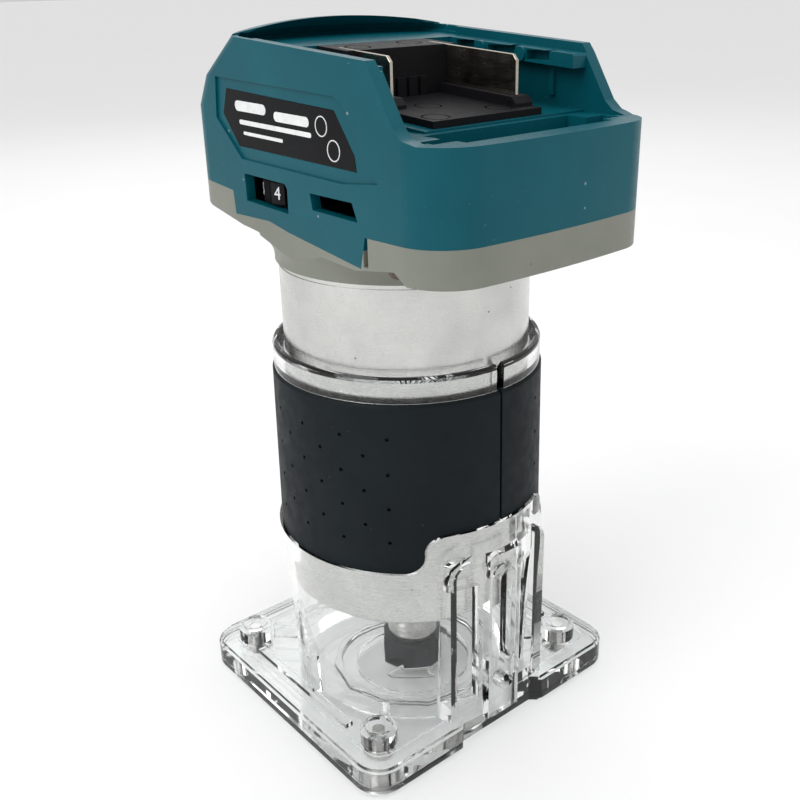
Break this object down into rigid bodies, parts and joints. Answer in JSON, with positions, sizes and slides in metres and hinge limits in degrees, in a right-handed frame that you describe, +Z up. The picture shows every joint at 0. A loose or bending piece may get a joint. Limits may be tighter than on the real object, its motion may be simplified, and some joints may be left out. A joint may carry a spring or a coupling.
{
  "type": "trim router",
  "caption": "Compact cordless trim router without battery: round motor in a clear square base with rubber grip, and a teal head with a top battery bay.",
  "frame": {"origin": "on the spindle axis at the underside of the base, at the centre of the bit opening", "axes": "+Z up along the spindle; -Y towards the guide block and the open end of the battery bay; -X towards the rating plate and the speed dial"},
  "size_m": [0.092, 0.1037, 0.1859],
  "materials": {
    "clear_plastic": "clear moulded polycarbonate, glossy",
    "lamp_lens": "clear lens",
    "grip_rubber": "soft matt elastomer with small pin holes",
    "machined_aluminium": "turned, light scratches",
    "steel": "bright ground steel",
    "copper_plated_steel": "copper-coloured screw",
    "black_oxide_steel": "dark oxide",
    "lamination_steel": "stacked laminations",
    "copper_wire": "enamelled copper",
    "magnet": "nickel plated",
    "brass": "turned brass",
    "teal_plastic": "fine moulded texture",
    "grey_plastic": "fine moulded texture",
    "black_plastic": "satin moulded",
    "label_black": "satin printed plate, blank",
    "circuit_board": "lacquered board",
    "blade_metal": "bright plated strip"
  },
  "bodies": {
    "base": {"base_sleeve": "clear_plastic", "sub_base_plate": "clear_plastic", "sub_base_screws": "steel", "rubber_grip": "grip_rubber", "clamp_bolt": "steel", "clamp_washer": "machined_aluminium"},
    "motor_unit": {"bay_floor_plate": "black_plastic", "board_capacitors": "black_plastic", "collar_screws": "copper_plated_steel", "control_board": "circuit_board", "fan_baffle": "black_plastic", "hall_board": "circuit_board", "heat_sink": "machined_aluminium", "housing_left": "teal_plastic", "housing_right": "teal_plastic", "housing_screws": "steel", "label_plate": "label_black", "lamp_board": "circuit_board", "lamp_lenses": "lamp_lens", "lower_bearing_housing": "machined_aluminium", "lower_bearing_outer": "steel", "lower_housing": "grey_plastic", "motor_barrel": "machined_aluminium", "motor_leads": "copper_wire", "potentiometer": "black_plastic", "rack_screws": "steel", "rack_strip": "steel", "signal_connector": "black_plastic", "stator_core": "lamination_steel", "stator_windings": "copper_wire", "switch_board": "circuit_board", "tactile_switches": "black_plastic", "terminal_blades": "blade_metal", "terminal_block": "black_plastic", "upper_bearing_holder": "black_plastic", "upper_bearing_outer": "steel"},
    "spindle": {"spindle_shaft": "steel", "collet_cone": "steel", "rotor_core": "steel", "rotor_magnets": "magnet", "balance_ring": "brass", "cooling_fan": "black_plastic", "lower_bearing_inner": "steel", "lower_bearing_balls": "steel", "upper_bearing_inner": "steel", "upper_bearing_balls": "steel"},
    "collet_nut": {"collet_nut": "black_oxide_steel"},
    "pinion": {"pinion_shaft": "steel", "adjusting_knob": "black_plastic"},
    "clamp_nut": {"clamp_thumb_nut": "black_plastic"},
    "speed_dial": {"speed_dial": "black_plastic"},
    "power_button": {"power_button": "black_plastic"},
    "lock_button": {"lock_button": "black_plastic"}
  },
  "joints": [
    {"name": "depth_slide", "type": "slide", "parent": "base", "child": "motor_unit", "axis": [0, 0, 1], "range_m": [-0.02, 0.015]},
    {"name": "pinion_spin", "type": "hinge", "parent": "base", "child": "pinion", "pos_m": [0, 0.0377, 0.058], "axis": [1, 0, 0], "range_deg": [-175, 232]},
    {"name": "clamp_nut_turn", "type": "hinge", "parent": "base", "child": "clamp_nut", "pos_m": [0.017, 0.042, 0.084], "axis": [1, 0, 0], "range_deg": [0, 540]},
    {"name": "spindle_spin", "type": "hinge", "parent": "motor_unit", "child": "spindle", "pos_m": [0, 0, 0.045], "axis": [0, 0, 1], "continuous": true},
    {"name": "collet_nut_turn", "type": "hinge", "parent": "spindle", "child": "collet_nut", "pos_m": [0, 0, 0.009], "axis": [0, 0, -1], "range_deg": [0, 540]},
    {"name": "speed_dial_turn", "type": "hinge", "parent": "motor_unit", "child": "speed_dial", "pos_m": [-0.0214, 0.0096, 0.1476], "axis": [0, 0, 1], "range_deg": [-150, 50]},
    {"name": "power_button_press", "type": "slide", "parent": "motor_unit", "child": "power_button", "axis": [-1, 0, 0], "range_m": [0, 0.001], "stiffness_N_per_m": 600},
    {"name": "lock_button_press", "type": "slide", "parent": "motor_unit", "child": "lock_button", "axis": [-1, 0, 0], "range_m": [0, 0.001], "stiffness_N_per_m": 600}
  ],
  "couplings": [
    {"joint": "pinion_spin", "follows": "depth_slide", "rad_per_m": -200}
  ]
}
